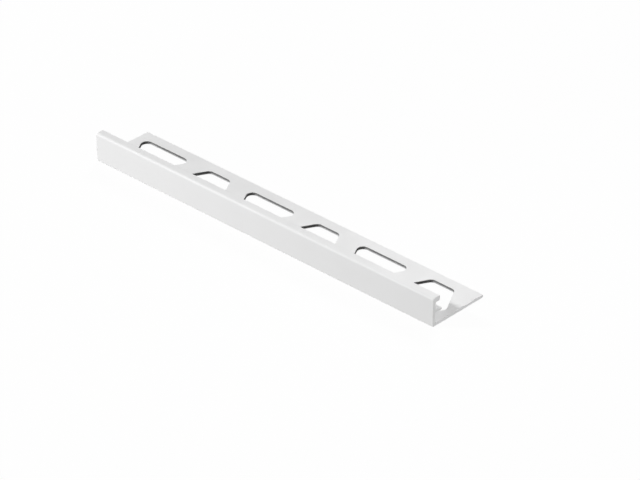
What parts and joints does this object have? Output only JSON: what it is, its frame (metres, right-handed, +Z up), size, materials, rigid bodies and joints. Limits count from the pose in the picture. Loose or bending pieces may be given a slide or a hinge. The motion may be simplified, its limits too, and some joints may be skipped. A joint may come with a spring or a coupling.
{
  "type": "tile edge trim",
  "caption": "Straight extruded tile edge trim: an upright wall with an inward top lip and a thin joint spacer, on a flat leg with trapezoid holes for the mortar.",
  "frame": {"origin": "middle of the bounding box, at the underside of the leg", "axes": "+X along the trim, +Y from the wall's visible face towards the back edge of the leg, +Z up from the leg to the lip"},
  "size_m": [0.1436, 0.0228, 0.01],
  "materials": {
    "white_plastic": "smooth satin white PVC, as it leaves the extruder"
  },
  "bodies": {
    "root": {"edge_trim": "white_plastic"}
  },
  "joints": []
}
